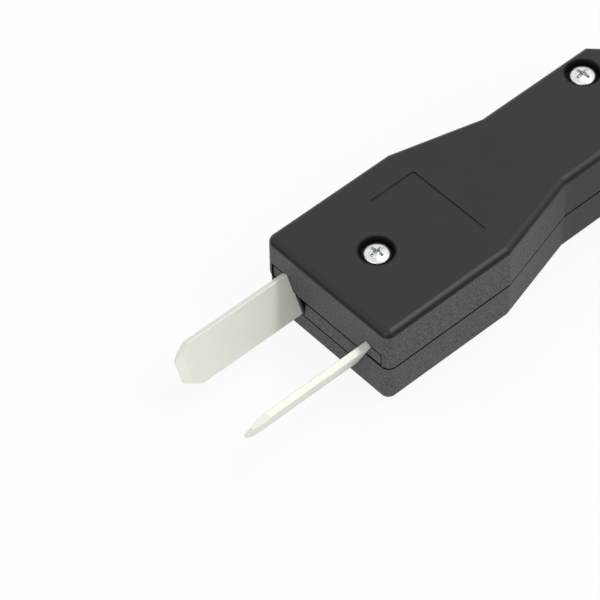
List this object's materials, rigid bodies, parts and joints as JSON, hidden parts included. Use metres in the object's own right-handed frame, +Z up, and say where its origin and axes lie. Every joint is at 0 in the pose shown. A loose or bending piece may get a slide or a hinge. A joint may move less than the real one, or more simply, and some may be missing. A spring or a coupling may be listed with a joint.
{
  "type": "charger plug",
  "caption": "Moulded clamshell charger plug with slanted flat blades, recessed housing screws and a rear cord inlet.",
  "frame": {"origin": "middle of the mating face, where the housing's plane of symmetry crosses its parting plane", "axes": "+Y along the handle from the mating face to the cord inlet, so that the blades stand out towards -Y; +Z up towards the screw heads; +X to the right, seen from the blades' end"},
  "size_m": [0.0476, 0.1528, 0.027],
  "materials": {
    "housing_plastic": "charcoal black moulded thermoplastic, smooth and matt on top, finely grained on the sides",
    "blade_metal": "brass blade with a bright satin nickel or tin plate, silver white all over",
    "terminal_steel": "plated steel, satin",
    "screw_zinc": "bright zinc plated steel"
  },
  "bodies": {
    "root": {"upper_housing": "housing_plastic", "lower_housing": "housing_plastic", "blade_carrier": "housing_plastic", "left_blade": "blade_metal", "left_wire_clamp": "terminal_steel", "left_lock_washer": "terminal_steel", "left_terminal_screw": "terminal_steel", "left_terminal_nut": "terminal_steel", "right_blade": "blade_metal", "right_wire_clamp": "terminal_steel", "right_lock_washer": "terminal_steel", "right_terminal_screw": "terminal_steel", "right_terminal_nut": "terminal_steel", "clamp_strap": "terminal_steel", "left_clamp_screw": "screw_zinc", "right_clamp_screw": "screw_zinc", "front_screw": "screw_zinc", "rear_right_screw": "screw_zinc", "rear_left_screw": "screw_zinc"}
  },
  "joints": []
}
